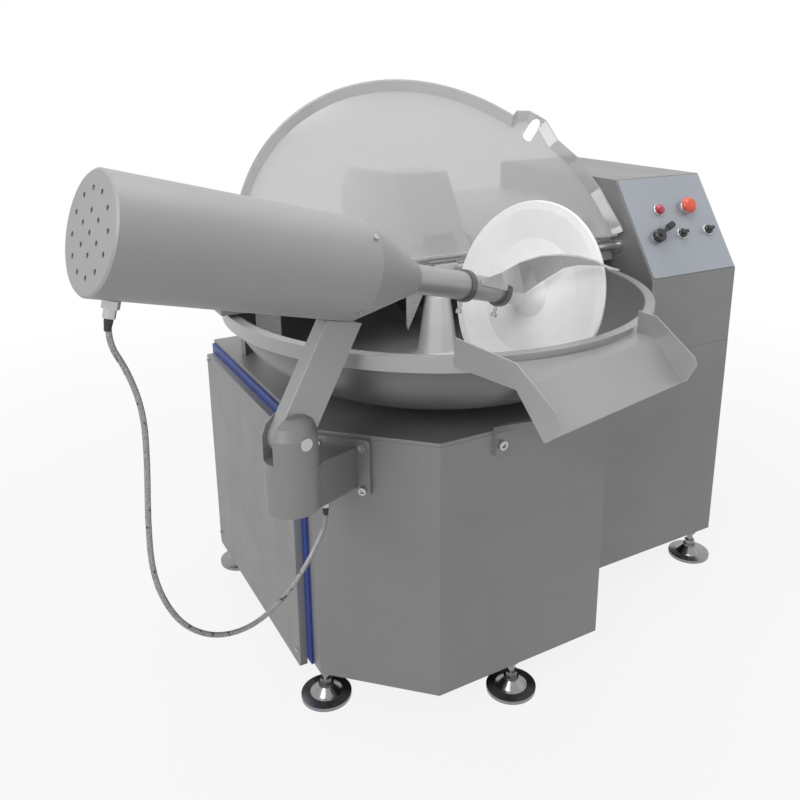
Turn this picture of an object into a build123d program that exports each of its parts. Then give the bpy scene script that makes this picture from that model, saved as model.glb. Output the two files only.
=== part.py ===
from build123d import *
from math import acos, asin, atan2, cos, degrees, hypot, pi, radians, sin, sqrt
import os

# Meat bowl cutter with a discharger, in millimetres, +Z up. The model is laid out about the bowl's
# axis: X runs to the control cabinet, Y to the back, and Z = 0 is where the floor would be with the
# levelling feet wound right out. On export everything moves together so that the origin is at the
# bottom centre of the machine's box, on the floor.

# ---- Fits and stock --------------------------------------------------------------------------
RUNNING = 0.05            # radial clearance of a shaft in its bearing
AIR = 0.5                 # radial clearance of a shaft in a plain hole
SHEET = 4.0               # housing sheet
BASE = (Align.CENTER, Align.CENTER, Align.MIN)

# ---- Bowl and its drive ----------------------------------------------------------------------
RIM_TOP = 872.0
RIM_BAND = 27.5
TROUGH_RADIUS = 267.0     # from the bowl's axis to the middle of the trough
TROUGH_AXIS = 904.0       # height of the trough's arc centre
TROUGH_ARC = 190.0        # inside arc of the trough
BOWL_WALL = 7.0
RIM_WIDTH = 20.7          # the flat rim, from the trough's wall outwards
RIM_RADIUS = TROUGH_RADIUS + sqrt(TROUGH_ARC ** 2 - (TROUGH_AXIS - RIM_TOP) ** 2) + RIM_WIDTH
CONE = [(45, 732), (37, 798), (28, 857), (20, 866)]
CONE_FLARE = 34.0
BOWL_SHAFT = 32.0
BOWL_FLANGE = 90.0
BEARING_OUTER = 58.0
HUB_CASE = 76.0           # outside of the bowl's bearing housing
GEARBOX_TOP = 520.0
GEARBOX_BOTTOM = 430.0
WHEEL_TIP = 88.0
WHEEL_TEETH = 36
WORM_TIP = 24.0
WORM_SHAFT = 12.0
WORM_Y = 115.0            # worm beside the wheel
BOWL_MOTOR = 80.0
BOWL_MOTOR_LENGTH = 230.0

# ---- Body ------------------------------------------------------------------------------------
BODY_LEFT = -379.0
BODY_FRONT = -339.0
BODY_CHAMFER = 185.0      # leg of the big corner that carries the discharger
BODY_STEP = 223.0         # where the front steps back beside the bowl
BODY_RIGHT = 799.0
BODY_BACK = RIM_RADIUS + 25
BODY_BOTTOM = 107.0
DECK_TOP = 673.0
DECK_PLATE = 8.0
CABINET_LEFT = RIM_RADIUS + 36
CABINET_FRONT = -152.0
CABINET_TOP = 1084.0
PANEL_FOOT = 858.0        # height where the sloping panel starts
PANEL_DEPTH = 152.0       # how far the slope runs back
FOLD_RADIUS = 6.0
FRAME_RAIL = 44.0
FRAME_HEIGHT = 40.0

# ---- Feet ------------------------------------------------------------------------------------
FOOT_INSET = 26.0         # of the rear feet from the back
FEET = [(-358, -130), (4, -316), (752, -130), (-356, BODY_BACK - FOOT_INSET), (752, BODY_BACK - FOOT_INSET)]
FEET_WOUND_IN = 28.0      # how far the feet are wound in, which is the floor's level here
PAD_RADIUS = 55.0
PAD_HEIGHT = 34.0
PAD_RIM = 8.0             # thickness of the pad at its edge
PAD_PROFILE = [(0, 0), (PAD_RADIUS, 0), (PAD_RADIUS, PAD_RIM), (PAD_RADIUS - 20, PAD_RIM + 3),
               (PAD_RADIUS - 24, PAD_RIM + 6), (17, PAD_HEIGHT - 6), (17, PAD_HEIGHT), (0, PAD_HEIGHT)]
STEM_COLLAR = 12.0        # hexagon that turns the foot, just above the pad
STEM_RADIUS = 8.0
STEM_FLATS = 24.0
NUT_HEIGHT = 13.0

# ---- Knife spindle ---------------------------------------------------------------------------
SPINDLE_Y = 267.0
SPINDLE_Z = 900.0
SPINDLE_RADIUS = 20.0
KNIFE_RADIUS = 180.0
KNIFE_THICK = 5.0
KNIFE_PITCH = 15.0
KNIVES = 6
KNIFE_START = 2.0         # left face of the first knife
KNIFE_HUB = 46.0
ARM_LEFT = 136.0          # left end of the spindle arm
ARM_HALF = 68.0
ARM_BOTTOM = 875.5
ARM_TOP = 985.0
PEDESTAL_LEFT = 530.0
PEDESTAL_THICK = 28.0
SPINDLE_BEARING = 45.0
BEARING_WIDTH = 24.0
SHEAVE_LEFT = 600.0
SHEAVE_WIDTH = 54.0
SPINDLE_SHEAVE = 55.0
MOTOR_SHEAVE = 75.0
BELT_THICK = 8.0
BELTS = 3
MOTOR_Y = 190.0
MOTOR_Z = 380.0
MOTOR_RADIUS = 130.0
MOTOR_LENGTH = 290.0
MOTOR_SHAFT = 19.0

# ---- Covers over the back of the bowl --------------------------------------------------------
HOOD_LEFT = -20.0
HOOD_RIGHT = 123.0
HOOD_FRONT = 38.0         # front edge at the bottom
HOOD_BOTTOM = 884.0
HOOD_TOP = 1110.0
HOOD_BACK = BODY_BACK - 30
HOOD_LEAN = 32.7
HOOD_HINGE_Y = BODY_BACK - 14
HOOD_HINGE_Z = 905.0
HINGE_PIN = 5.0
CASING_LEFT = 128.0
CASING_FRONT = -6.0
CASING_CORNER = 60.0
CASING_BOTTOM = 884.0
CASING_TOP = 1010.0
COVER_LEFT = -RIM_RADIUS - 19
COVER_RIGHT = -26.0
COVER_BOTTOM = 880.0
COVER_TOP = 912.0
FLAP_OUT = 107.0          # from the middle of the trough to the left flap
FLAP_WIDTH = 52.0
FLAP_BOTTOM = 823.0
FIN_TIP = 787.0
SCRAPER_THICK = 3.0

# ---- Clear lid -------------------------------------------------------------------------------
LID_HINGE_Y = -22.0
LID_HINGE_Z = 924.0
LID_OPEN = 124.2          # degrees from closed, the position it is modelled in
LID_RADIUS = RIM_RADIUS + 2
LID_SKIRT = 17.0          # how far the slanted skirt runs out
LID_EDGE_Z = 879.0
LID_PLATE_Z = 903.0
LID_SHEET = 4.0
LID_REAR = -25.0
LID_RIGHT = 503.0
LID_SHAFT = 12.0
LID_SHAFT_LEFT = -70.0

# ---- Discharger ------------------------------------------------------------------------------
CAP_CENTRE = (-774.4, -410.0, 1140.8)
REACH = (0.946, 0.188, -0.265)        # direction of the discharger's axis at rest
CASE_RADIUS = 86.8
CAP_THICK = 26.0
CASE_END = 433.0          # stations along the axis, from the cap's outer face
CONE_END = 568.0
TUBE_END = 700.0
SLEEVE_END = 812.0
DISC_STATION = 887.0
TUBE_RADIUS = 27.0
SLEEVE_RADIUS = 24.0
DRIVE_RADIUS = 11.0
DISC_RADIUS = 193.0
DISC_THICK = 7.0
DISC_DISH = 12.0
PIVOT = (-493.0, -354.0, 765.0)
HEAD_RADIUS = 46.0
HEAD_TOP = 808.0
BARREL_TOP = 707.0
BARREL_BOTTOM = 635.0
PIN_RADIUS = 11.0
SWING_ARM_WIDTH = 70.0
SWING_ARM_THICK = 30.0
FLANGE_SIZE = 120.0
FLANGE_THICK = 12.0
FLANGE_Z = 608.0

# ---- Chute -----------------------------------------------------------------------------------
CHUTE_TURN = -78.0        # bearing of the chute from the bowl's axis, degrees
CHUTE_LEFT = -304.0
CHUTE_RIGHT = 88.0
CHUTE_SHEET = 3.0
CHUTE_FLOOR_Z = 860.0
CHUTE_BEND = RIM_RADIUS + 41
CHUTE_FRONT = RIM_RADIUS + 103
CHUTE_FRONT_Z = 789.0
CHUTE_GAP = 5.0

# ---- Cable -----------------------------------------------------------------------------------
CABLE_RADIUS = 4.5

NODES = {}


def node(name, *shapes):
    """Add the solids of one named piece, or of one group of like pieces."""
    solids = NODES.setdefault(name, [])
    for shape in shapes:
        solids.extend(shape.solids())


def block(x, y, z):
    """Box between two limits on each axis."""
    size = (x[1] - x[0], y[1] - y[0], z[1] - z[0])
    return Pos(x[0], y[0], z[0]) * Box(*size, align=(Align.MIN,) * 3)


def rod(start, along, radius, length, bore=0.0):
    """Round bar from a point along a direction, or a tube where a bore is given."""
    plane = Plane(origin=start, z_dir=along)
    bar = plane * Cylinder(radius, length, align=BASE)
    if bore:
        bar -= plane * Cylinder(bore, length, align=BASE)
    return bar


def hexagon(start, along, flats, length, bore=0.0):
    """Hexagonal bar or nut."""
    plane = Plane(origin=start, z_dir=along)
    nut = plane * extrude(RegularPolygon(flats / 2, 6, major_radius=False), length)
    if bore:
        nut -= plane * Cylinder(bore, length, align=BASE)
    return nut


def face_of(points):
    """Plane face with the given corners."""
    return make_face(Polyline(*points, close=True))


def prism(shape, plane, depth):
    """Extrude a flat shape, or a list of corners, drawn in a plane."""
    flat = face_of(shape) if isinstance(shape, list) else shape
    return extrude(plane * flat, depth, dir=plane.z_dir)


def turned(profile, start=(0, 0, 0), along=(0, 0, 1)):
    """Solid of revolution from (radius, station) corners."""
    flat = make_face(Polyline(*[(r, 0, s) for r, s in profile], close=True))
    return Plane(origin=start, z_dir=along) * revolve(flat, Axis.Z)


def socket_screw(start, along, radius, grip):
    """Cap screw: head against a face, shank into it, recess in the head."""
    direction = Vector(*along)
    head = rod(start, along, 1.6 * radius, 1.6 * radius)
    head -= hexagon(Vector(*start) + direction * radius, along, 1.6 * radius, radius)
    return head + rod(start, direction * -1, radius, grip)


# ---- Body ------------------------------------------------------------------------------------
def body_outline():
    """Plan of the body: big corner at the front left, step beside the bowl at the right."""
    return face_of([
        (BODY_LEFT, BODY_BACK),
        (BODY_LEFT, BODY_FRONT + BODY_CHAMFER),
        (BODY_LEFT + BODY_CHAMFER, BODY_FRONT),
        (BODY_STEP, BODY_FRONT),
        (BODY_STEP, CABINET_FRONT),
        (BODY_RIGHT, CABINET_FRONT),
        (BODY_RIGHT, BODY_BACK),
    ])


def inset(shape, amount):
    return offset(shape, -amount, kind=Kind.INTERSECTION)


def build_body():
    plan = body_outline()
    skin_top = DECK_TOP - DECK_PLATE
    height = skin_top - BODY_BOTTOM
    skin = prism(plan, Plane.XY.offset(BODY_BOTTOM), height)
    skin -= prism(inset(plan, SHEET), Plane.XY.offset(BODY_BOTTOM), height)
    door_hole = block((BODY_LEFT - 1, BODY_LEFT + SHEET + 1), (DOOR_FRONT + 30, DOOR_BACK - 40),
                      (DOOR_BOTTOM + 60, DOOR_TOP - 30))
    skin -= door_hole
    for screw in bracket_screw_places():
        skin -= rod(screw, FLANGE_NORMAL * -1, BRACKET_SCREW, 40)
    skin -= rod((STRAP_X, BODY_FRONT - 1, STRAP_Z), (0, 1, 0), STRAP_SCREW, SHEET + 2)
    node("lower_body", skin)

    frame = prism(inset(plan, SHEET), Plane.XY.offset(BODY_BOTTOM), FRAME_HEIGHT)
    frame -= prism(inset(plan, SHEET + FRAME_RAIL), Plane.XY.offset(BODY_BOTTOM), FRAME_HEIGHT)
    frame_top = BODY_BOTTOM + FRAME_HEIGHT
    for x in (BODY_STEP - FRAME_RAIL, PEDESTAL_LEFT - 10):
        frame += block((x, x + FRAME_RAIL + 10), (CABINET_FRONT + SHEET, BODY_BACK - SHEET),
                       (BODY_BOTTOM, frame_top))
    for x, y in FEET:
        frame -= rod((x, y, BODY_BOTTOM), (0, 0, 1), STEM_RADIUS + AIR, FRAME_HEIGHT)
    node("base_frame", frame)

    deck = prism(plan, Plane.XY.offset(skin_top), DECK_PLATE)
    deck -= block((CABINET_LEFT, BODY_RIGHT + 1), (CABINET_FRONT - 1, BODY_BACK + 1),
                  (skin_top, DECK_TOP))
    deck -= rod((0, 0, skin_top), (0, 0, 1), HUB_CASE + AIR, DECK_PLATE)
    node("deck_plate", deck)


# ---- Service door on the left side -------------------------------------------------------------
DOOR_FRONT = -94.0
DOOR_BACK = BODY_BACK - 3
DOOR_BOTTOM = 88.0
DOOR_TOP = 640.0
DOOR_THICK = 16.0
SEAL_THICK = 6.0
SEAL_BAND = 24.0
DOOR_SCREW = 3.0


def build_door():
    seal_face = BODY_LEFT - SEAL_THICK
    seal = block((seal_face, BODY_LEFT), (DOOR_FRONT - SEAL_BAND, DOOR_BACK),
                 (BODY_BOTTOM, DOOR_TOP + SEAL_BAND))
    seal -= block((seal_face, BODY_LEFT), (DOOR_FRONT + 20, DOOR_BACK - 30),
                  (BODY_BOTTOM + 40, DOOR_TOP - 20))
    door = block((seal_face - DOOR_THICK, seal_face), (DOOR_FRONT, DOOR_BACK), (DOOR_BOTTOM, DOOR_TOP))
    door = fillet(door.edges().filter_by(Axis.X), 10)
    door -= block((seal_face - DOOR_THICK + 3, seal_face), (DOOR_FRONT + 26, DOOR_BACK - 36),
                  (BODY_BOTTOM + 46, DOOR_TOP - 26))
    screws = []
    for y in (DOOR_FRONT + 12, DOOR_BACK - 15):
        for z in (BODY_BOTTOM + 20, DOOR_TOP - 12):
            start = (seal_face - DOOR_THICK, y, z)
            door -= rod(start, (1, 0, 0), DOOR_SCREW, DOOR_THICK)
            seal -= rod((seal_face, y, z), (1, 0, 0), DOOR_SCREW, SEAL_THICK)
            screws.append(socket_screw(start, (-1, 0, 0), DOOR_SCREW, DOOR_THICK + SEAL_THICK))
    node("side_door", door)
    node("door_seal", seal)
    node("body_fittings", *screws)


# ---- Feet ------------------------------------------------------------------------------------
def build_feet():
    pads, stems, nuts = [], [], []
    frame_top = BODY_BOTTOM + FRAME_HEIGHT
    pad_top = FEET_WOUND_IN + PAD_HEIGHT
    for x, y in FEET:
        pads.append(turned(PAD_PROFILE, (x, y, FEET_WOUND_IN)))
        stem = rod((x, y, pad_top), (0, 0, 1), STEM_RADIUS, frame_top + NUT_HEIGHT + 6 - pad_top)
        stems.append(stem + hexagon((x, y, pad_top), (0, 0, 1), STEM_FLATS, STEM_COLLAR))
        for z in (BODY_BOTTOM - NUT_HEIGHT, frame_top):
            nuts.append(hexagon((x, y, z), (0, 0, 1), STEM_FLATS, NUT_HEIGHT, STEM_RADIUS + RUNNING))
    node("foot_pads", *pads)
    node("foot_screws", *stems, *nuts)


# ---- Control cabinet -------------------------------------------------------------------------
def cabinet_profile():
    """Side view of the cabinet as (Y, Z) corners, with its sloping panel."""
    bottom = DECK_TOP - DECK_PLATE
    return face_of([
        (CABINET_FRONT, bottom),
        (CABINET_FRONT, PANEL_FOOT),
        (CABINET_FRONT + PANEL_DEPTH, CABINET_TOP),
        (BODY_BACK - 3, CABINET_TOP),
        (BODY_BACK - 3, bottom),
    ])


def casing_outline():
    """Casing's side view with its big rounded front corner."""
    back = BODY_BACK - 5
    flat = face_of([(CASING_FRONT, CASING_BOTTOM), (CASING_FRONT + 4, 958), (276, CASING_TOP - 4),
                    (back, CASING_TOP - 4), (back, CASING_BOTTOM)])
    front_top = flat.vertices().sort_by(Axis.X)[1]
    return fillet([front_top], CASING_CORNER)


SLOPE = hypot(PANEL_DEPTH, CABINET_TOP - PANEL_FOOT)
PANEL_PLANE = Plane(origin=(CABINET_LEFT, CABINET_FRONT, PANEL_FOOT), x_dir=(1, 0, 0),
                    z_dir=(0, -(CABINET_TOP - PANEL_FOOT), PANEL_DEPTH))
PANEL_BORDER = 4.0
PANEL_SHEET = 3.0
CABINET_WIDTH = BODY_RIGHT - CABINET_LEFT


def build_cabinet():
    side = Plane.YZ.offset(CABINET_LEFT)
    profile = cabinet_profile()
    shell = prism(profile, side, CABINET_WIDTH)
    hollow = prism(inset(profile, SHEET), side.offset(SHEET), CABINET_WIDTH - 2 * SHEET)
    bottom = DECK_TOP - DECK_PLATE
    hollow += block((CABINET_LEFT + SHEET, BODY_RIGHT - SHEET),
                    (CABINET_FRONT + SHEET, BODY_BACK - 3 - SHEET), (bottom, bottom + 20))
    shell -= hollow
    shell -= prism(offset(casing_outline(), -SHEET, kind=Kind.INTERSECTION), side, SHEET)
    window = PANEL_BORDER + 12
    shell -= prism(Pos(CABINET_WIDTH / 2, SLOPE / 2) * Rectangle(CABINET_WIDTH - 2 * window,
                   SLOPE - 2 * window), PANEL_PLANE.offset(-2 * SHEET), 3 * SHEET)
    shell -= rod((CABINET_LEFT, LID_HINGE_Y, LID_HINGE_Z), (1, 0, 0), LID_SHAFT + 6, SHEET)
    shell -= block((CABINET_LEFT, CABINET_LEFT + SHEET),
                   (SPINDLE_Y - ARM_HALF - 2, SPINDLE_Y + ARM_HALF + 2), (ARM_BOTTOM - 2, SPINDLE_Z))
    node("cabinet_shell", shell)

    plate = prism(Pos(CABINET_WIDTH / 2, SLOPE / 2) * RectangleRounded(
        CABINET_WIDTH - 2 * PANEL_BORDER, SLOPE - 2 * PANEL_BORDER, 6), PANEL_PLANE, PANEL_SHEET)
    for place in SWITCH_PLACES:
        plate -= prism(Pos(*place) * Circle(SWITCH_HOLE), PANEL_PLANE, PANEL_SHEET)
    node("control_panel", plate)


# ---- Switches on the panel: places from the panel's lower left corner --------------------------
LAMP_AT = (99.0, 178.0)
STOP_AT = (193.0, 178.0)
LEVER_AT = (62.0, 108.0)
LEFT_SELECTOR_AT = (147.0, 109.0)
RIGHT_SELECTOR_AT = (239.0, 110.0)
SWITCH_HOLE = 11.0
SWITCH_STEM = 6.0
BEZEL_RADIUS = 15.0
BEZEL_HEIGHT = 4.0
STOP_HEAD = 21.0
STOP_TRAVEL = 6.0
LEVER_TIP = (101.0, 127.0)


SWITCH_PLACES = (LAMP_AT, STOP_AT, LEVER_AT, LEFT_SELECTOR_AT, RIGHT_SELECTOR_AT)


def on_panel(place, profile):
    """Turned piece that stands on the panel: stations count out from the panel's face."""
    plane = PANEL_PLANE.offset(PANEL_SHEET)
    centre = plane.from_local_coords((*place, 0))
    return turned(profile, centre, plane.z_dir)


def switch_body(place):
    """Bezel, threaded body through the panel and contact block behind it."""
    bore = SWITCH_STEM + RUNNING
    back = -PANEL_SHEET - 20
    return on_panel(place, [
        (bore, BEZEL_HEIGHT), (BEZEL_RADIUS - 1, BEZEL_HEIGHT), (BEZEL_RADIUS, 3), (BEZEL_RADIUS, 0),
        (SWITCH_HOLE, 0), (SWITCH_HOLE, back), (18, back - 10), (18, back - 40), (0, back - 40),
        (0, back), (bore, back),
    ])


def knob(place, radius, height):
    """Knob on a stem that runs in its bezel."""
    stem_end = -PANEL_SHEET - 12
    return on_panel(place, [
        (0, BEZEL_HEIGHT + height), (radius - 2, BEZEL_HEIGHT + height), (radius, BEZEL_HEIGHT + height - 2),
        (radius, BEZEL_HEIGHT + AIR), (SWITCH_STEM, BEZEL_HEIGHT + AIR), (SWITCH_STEM, stem_end),
        (0, stem_end),
    ])


def build_switches():
    face = PANEL_PLANE.offset(PANEL_SHEET)
    node("switch_bodies", *[switch_body(place) for place in SWITCH_PLACES])
    for name, place in (("left_selector", LEFT_SELECTOR_AT), ("right_selector", RIGHT_SELECTOR_AT)):
        cap = knob(place, 12, 5)
        grip = prism(Pos(*place) * SlotOverall(23, 9), face.offset(BEZEL_HEIGHT + 5), 8)
        node(name, cap + grip)
    reach = hypot(LEVER_TIP[0] - LEVER_AT[0], LEVER_TIP[1] - LEVER_AT[1])
    angle = degrees(atan2(LEVER_TIP[1] - LEVER_AT[1], LEVER_TIP[0] - LEVER_AT[0]))
    lever_plane = face.offset(BEZEL_HEIGHT + 8)
    turned_to = Pos(*LEVER_AT) * Rot(0, 0, angle)
    neck = turned_to * Pos(reach / 2, 0) * SlotOverall(reach + 9, 9)
    grip = turned_to * Pos(reach, 0) * SlotOverall(24, 17)
    lever = prism(neck, lever_plane, 10) + prism(grip, lever_plane.offset(-1), 13)
    node("rotary_lever", knob(LEVER_AT, 17, 14) + lever)
    node("indicator_lamp", on_panel(LAMP_AT, [
        (0, 16), (6, 15), (11, 12), (13, 7), (13, BEZEL_HEIGHT), (SWITCH_STEM, BEZEL_HEIGHT),
        (SWITCH_STEM, -PANEL_SHEET - 12), (0, -PANEL_SHEET - 12)]))
    gap = BEZEL_HEIGHT + STOP_TRAVEL + 1
    node("emergency_stop", on_panel(STOP_AT, [
        (0, gap + 16), (12, gap + 15), (STOP_HEAD - 3, gap + 11), (STOP_HEAD, gap + 6), (STOP_HEAD, gap + 2),
        (STOP_HEAD - 3, gap), (SWITCH_STEM, gap), (SWITCH_STEM, -PANEL_SHEET - 12),
        (0, -PANEL_SHEET - 12)]))


# ---- Bowl ------------------------------------------------------------------------------------
def bowl_profile():
    """Half section of the bowl in (radius, Z): trough, rim band and centre cone."""
    outer = TROUGH_ARC + BOWL_WALL
    band_bottom = RIM_TOP - RIM_BAND
    floor = TROUGH_AXIS - TROUGH_ARC
    under = TROUGH_AXIS - outer
    inner_rim = TROUGH_RADIUS + sqrt(TROUGH_ARC ** 2 - (TROUGH_AXIS - RIM_TOP) ** 2)
    outer_rim = TROUGH_RADIUS + sqrt(outer ** 2 - (TROUGH_AXIS - band_bottom) ** 2)
    slant = pi / 4 + asin((TROUGH_AXIS - RIM_TOP) / TROUGH_ARC) / 2
    mid_in = (TROUGH_RADIUS + TROUGH_ARC * cos(slant), TROUGH_AXIS - TROUGH_ARC * sin(slant))
    mid_out = (TROUGH_RADIUS + outer * cos(slant), TROUGH_AXIS - outer * sin(slant))
    cone_foot = CONE[0]
    flare_end = (cone_foot[0] + CONE_FLARE, floor)
    with BuildSketch(Plane.XZ) as sketch:
        with BuildLine():
            ThreePointArc((inner_rim, RIM_TOP), mid_in, (TROUGH_RADIUS, floor))
            Line((TROUGH_RADIUS, floor), flare_end)
            Line(flare_end, (cone_foot[0] + 8, cone_foot[1] - 8))
            Polyline((cone_foot[0] + 8, cone_foot[1] - 8), *CONE, (0, CONE[-1][1]))
            Line((0, CONE[-1][1]), (0, under))
            Line((0, under), (TROUGH_RADIUS, under))
            ThreePointArc((TROUGH_RADIUS, under), mid_out, (outer_rim, band_bottom))
            Polyline((outer_rim, band_bottom), (RIM_RADIUS, band_bottom), (RIM_RADIUS, RIM_TOP),
                     (inner_rim, RIM_TOP))
        make_face()
    return sketch.sketch


def build_bowl():
    bowl = revolve(bowl_profile(), Axis.Z)
    under = TROUGH_AXIS - TROUGH_ARC - BOWL_WALL
    skin_top = DECK_TOP - DECK_PLATE
    flange_bottom = under - 12
    shaft = rod((0, 0, GEARBOX_BOTTOM - 14), (0, 0, 1), BOWL_SHAFT, under - GEARBOX_BOTTOM + 14)
    shaft += rod((0, 0, flange_bottom), (0, 0, 1), BOWL_FLANGE, under - flange_bottom)
    bolts = []
    for place in PolarLocations(BOWL_FLANGE - 18, 6):
        spot = place.position
        tool = rod((spot.X, spot.Y, flange_bottom), (0, 0, 1), 5, under - flange_bottom)
        shaft -= tool
        bolts.append(socket_screw((spot.X, spot.Y, flange_bottom), (0, 0, -1), 5, under - flange_bottom))
    node("bowl", bowl)
    node("bowl_shaft", shaft)
    node("bowl_shaft", *bolts)

    flange_top = DECK_TOP + 6
    case = rod((0, 0, GEARBOX_TOP), (0, 0, 1), HUB_CASE, flange_top - GEARBOX_TOP, BOWL_SHAFT + 4)
    case += rod((0, 0, DECK_TOP), (0, 0, 1), HUB_CASE + 20, flange_top - DECK_TOP, HUB_CASE - 1)
    rings = []
    for z in (GEARBOX_TOP + 12, skin_top - 16):
        case -= rod((0, 0, z), (0, 0, 1), BEARING_OUTER, 22)
        rings.append(rod((0, 0, z), (0, 0, 1), BEARING_OUTER, 22, BOWL_SHAFT + RUNNING))
    node("bowl_bearing_housing", case)
    node("shaft_bearings", *rings)

    half = WHEEL_TIP + 12
    left = -half - 10
    gearbox = block((left, half), (-half, WORM_Y + 45), (GEARBOX_BOTTOM, GEARBOX_TOP))
    gearbox -= block((left + 8, half - 8), (-half + 8, WORM_Y + 37), (GEARBOX_BOTTOM + 8, GEARBOX_TOP - 8))
    gearbox -= rod((0, 0, GEARBOX_BOTTOM), (0, 0, 1), BOWL_SHAFT + AIR, GEARBOX_TOP - GEARBOX_BOTTOM)
    middle = (GEARBOX_BOTTOM + GEARBOX_TOP) / 2
    gearbox -= rod((left, WORM_Y, middle), (1, 0, 0), WORM_SHAFT + AIR, 8)
    gearbox += rod((left, WORM_Y, middle), (-1, 0, 0), BOWL_MOTOR, 14, WORM_SHAFT + AIR)
    gearbox += rod((left - 14, WORM_Y, middle), (-1, 0, 0), BOWL_MOTOR - 12, BOWL_MOTOR_LENGTH)
    gearbox -= rod((left, WORM_Y, middle), (-1, 0, 0), WORM_SHAFT + RUNNING, 60)
    node("bowl_gearmotor", gearbox)

    wheel = rod((0, 0, middle - 16), (0, 0, 1), WHEEL_TIP - 8, 32, BOWL_SHAFT)
    tooth = prism([(WHEEL_TIP - 10, -5), (WHEEL_TIP, -2.4), (WHEEL_TIP, 2.4), (WHEEL_TIP - 10, 5)],
                  Plane.XY.offset(middle - 16), 32)
    wheel += [Rot(0, 0, 360 / WHEEL_TEETH * turn) * tooth for turn in range(WHEEL_TEETH)]
    node("worm_wheel", wheel)
    worm_profile = [(0, left - 50), (WORM_SHAFT, left - 50), (WORM_SHAFT, -50)]
    for ring in range(8):
        start = -50 + 12.5 * ring
        worm_profile += [(16, start), (WORM_TIP, start + 4), (WORM_TIP, start + 8), (16, start + 12)]
    worm_profile += [(WORM_SHAFT, 50), (WORM_SHAFT, 64), (0, 64)]
    node("worm", turned(worm_profile, (0, WORM_Y, middle), (1, 0, 0)))


# ---- Knife spindle and its drive ---------------------------------------------------------------
def around(wheels, grow):
    """Flat shape of a belt's loop round two wheels given as (Y, Z, radius)."""
    (y1, z1, r1), (y2, z2, r2) = wheels
    heading = atan2(z2 - z1, y2 - y1)
    lean = acos((r1 - r2) / hypot(y2 - y1, z2 - z1))
    corners = [(y + (r + grow) * cos(heading + turn), z + (r + grow) * sin(heading + turn))
               for y, z, r, turn in ((y1, z1, r1, lean), (y2, z2, r2, lean),
                                     (y2, z2, r2, -lean), (y1, z1, r1, -lean))]
    return face_of(corners) + Pos(y1, z1) * Circle(r1 + grow) + Pos(y2, z2) * Circle(r2 + grow)


def knife_blank():
    """Sickle knife about its bore: a hub and a crescent whose tip reaches the knife radius."""
    sweep = 0.70 * KNIFE_RADIUS
    back = Pos(KNIFE_RADIUS - sweep, 0) * Circle(sweep)
    bite = Pos(KNIFE_RADIUS - sweep + 36, -58) * Circle(sweep)
    return back - bite + Circle(KNIFE_HUB) - Circle(SPINDLE_RADIUS)


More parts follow.
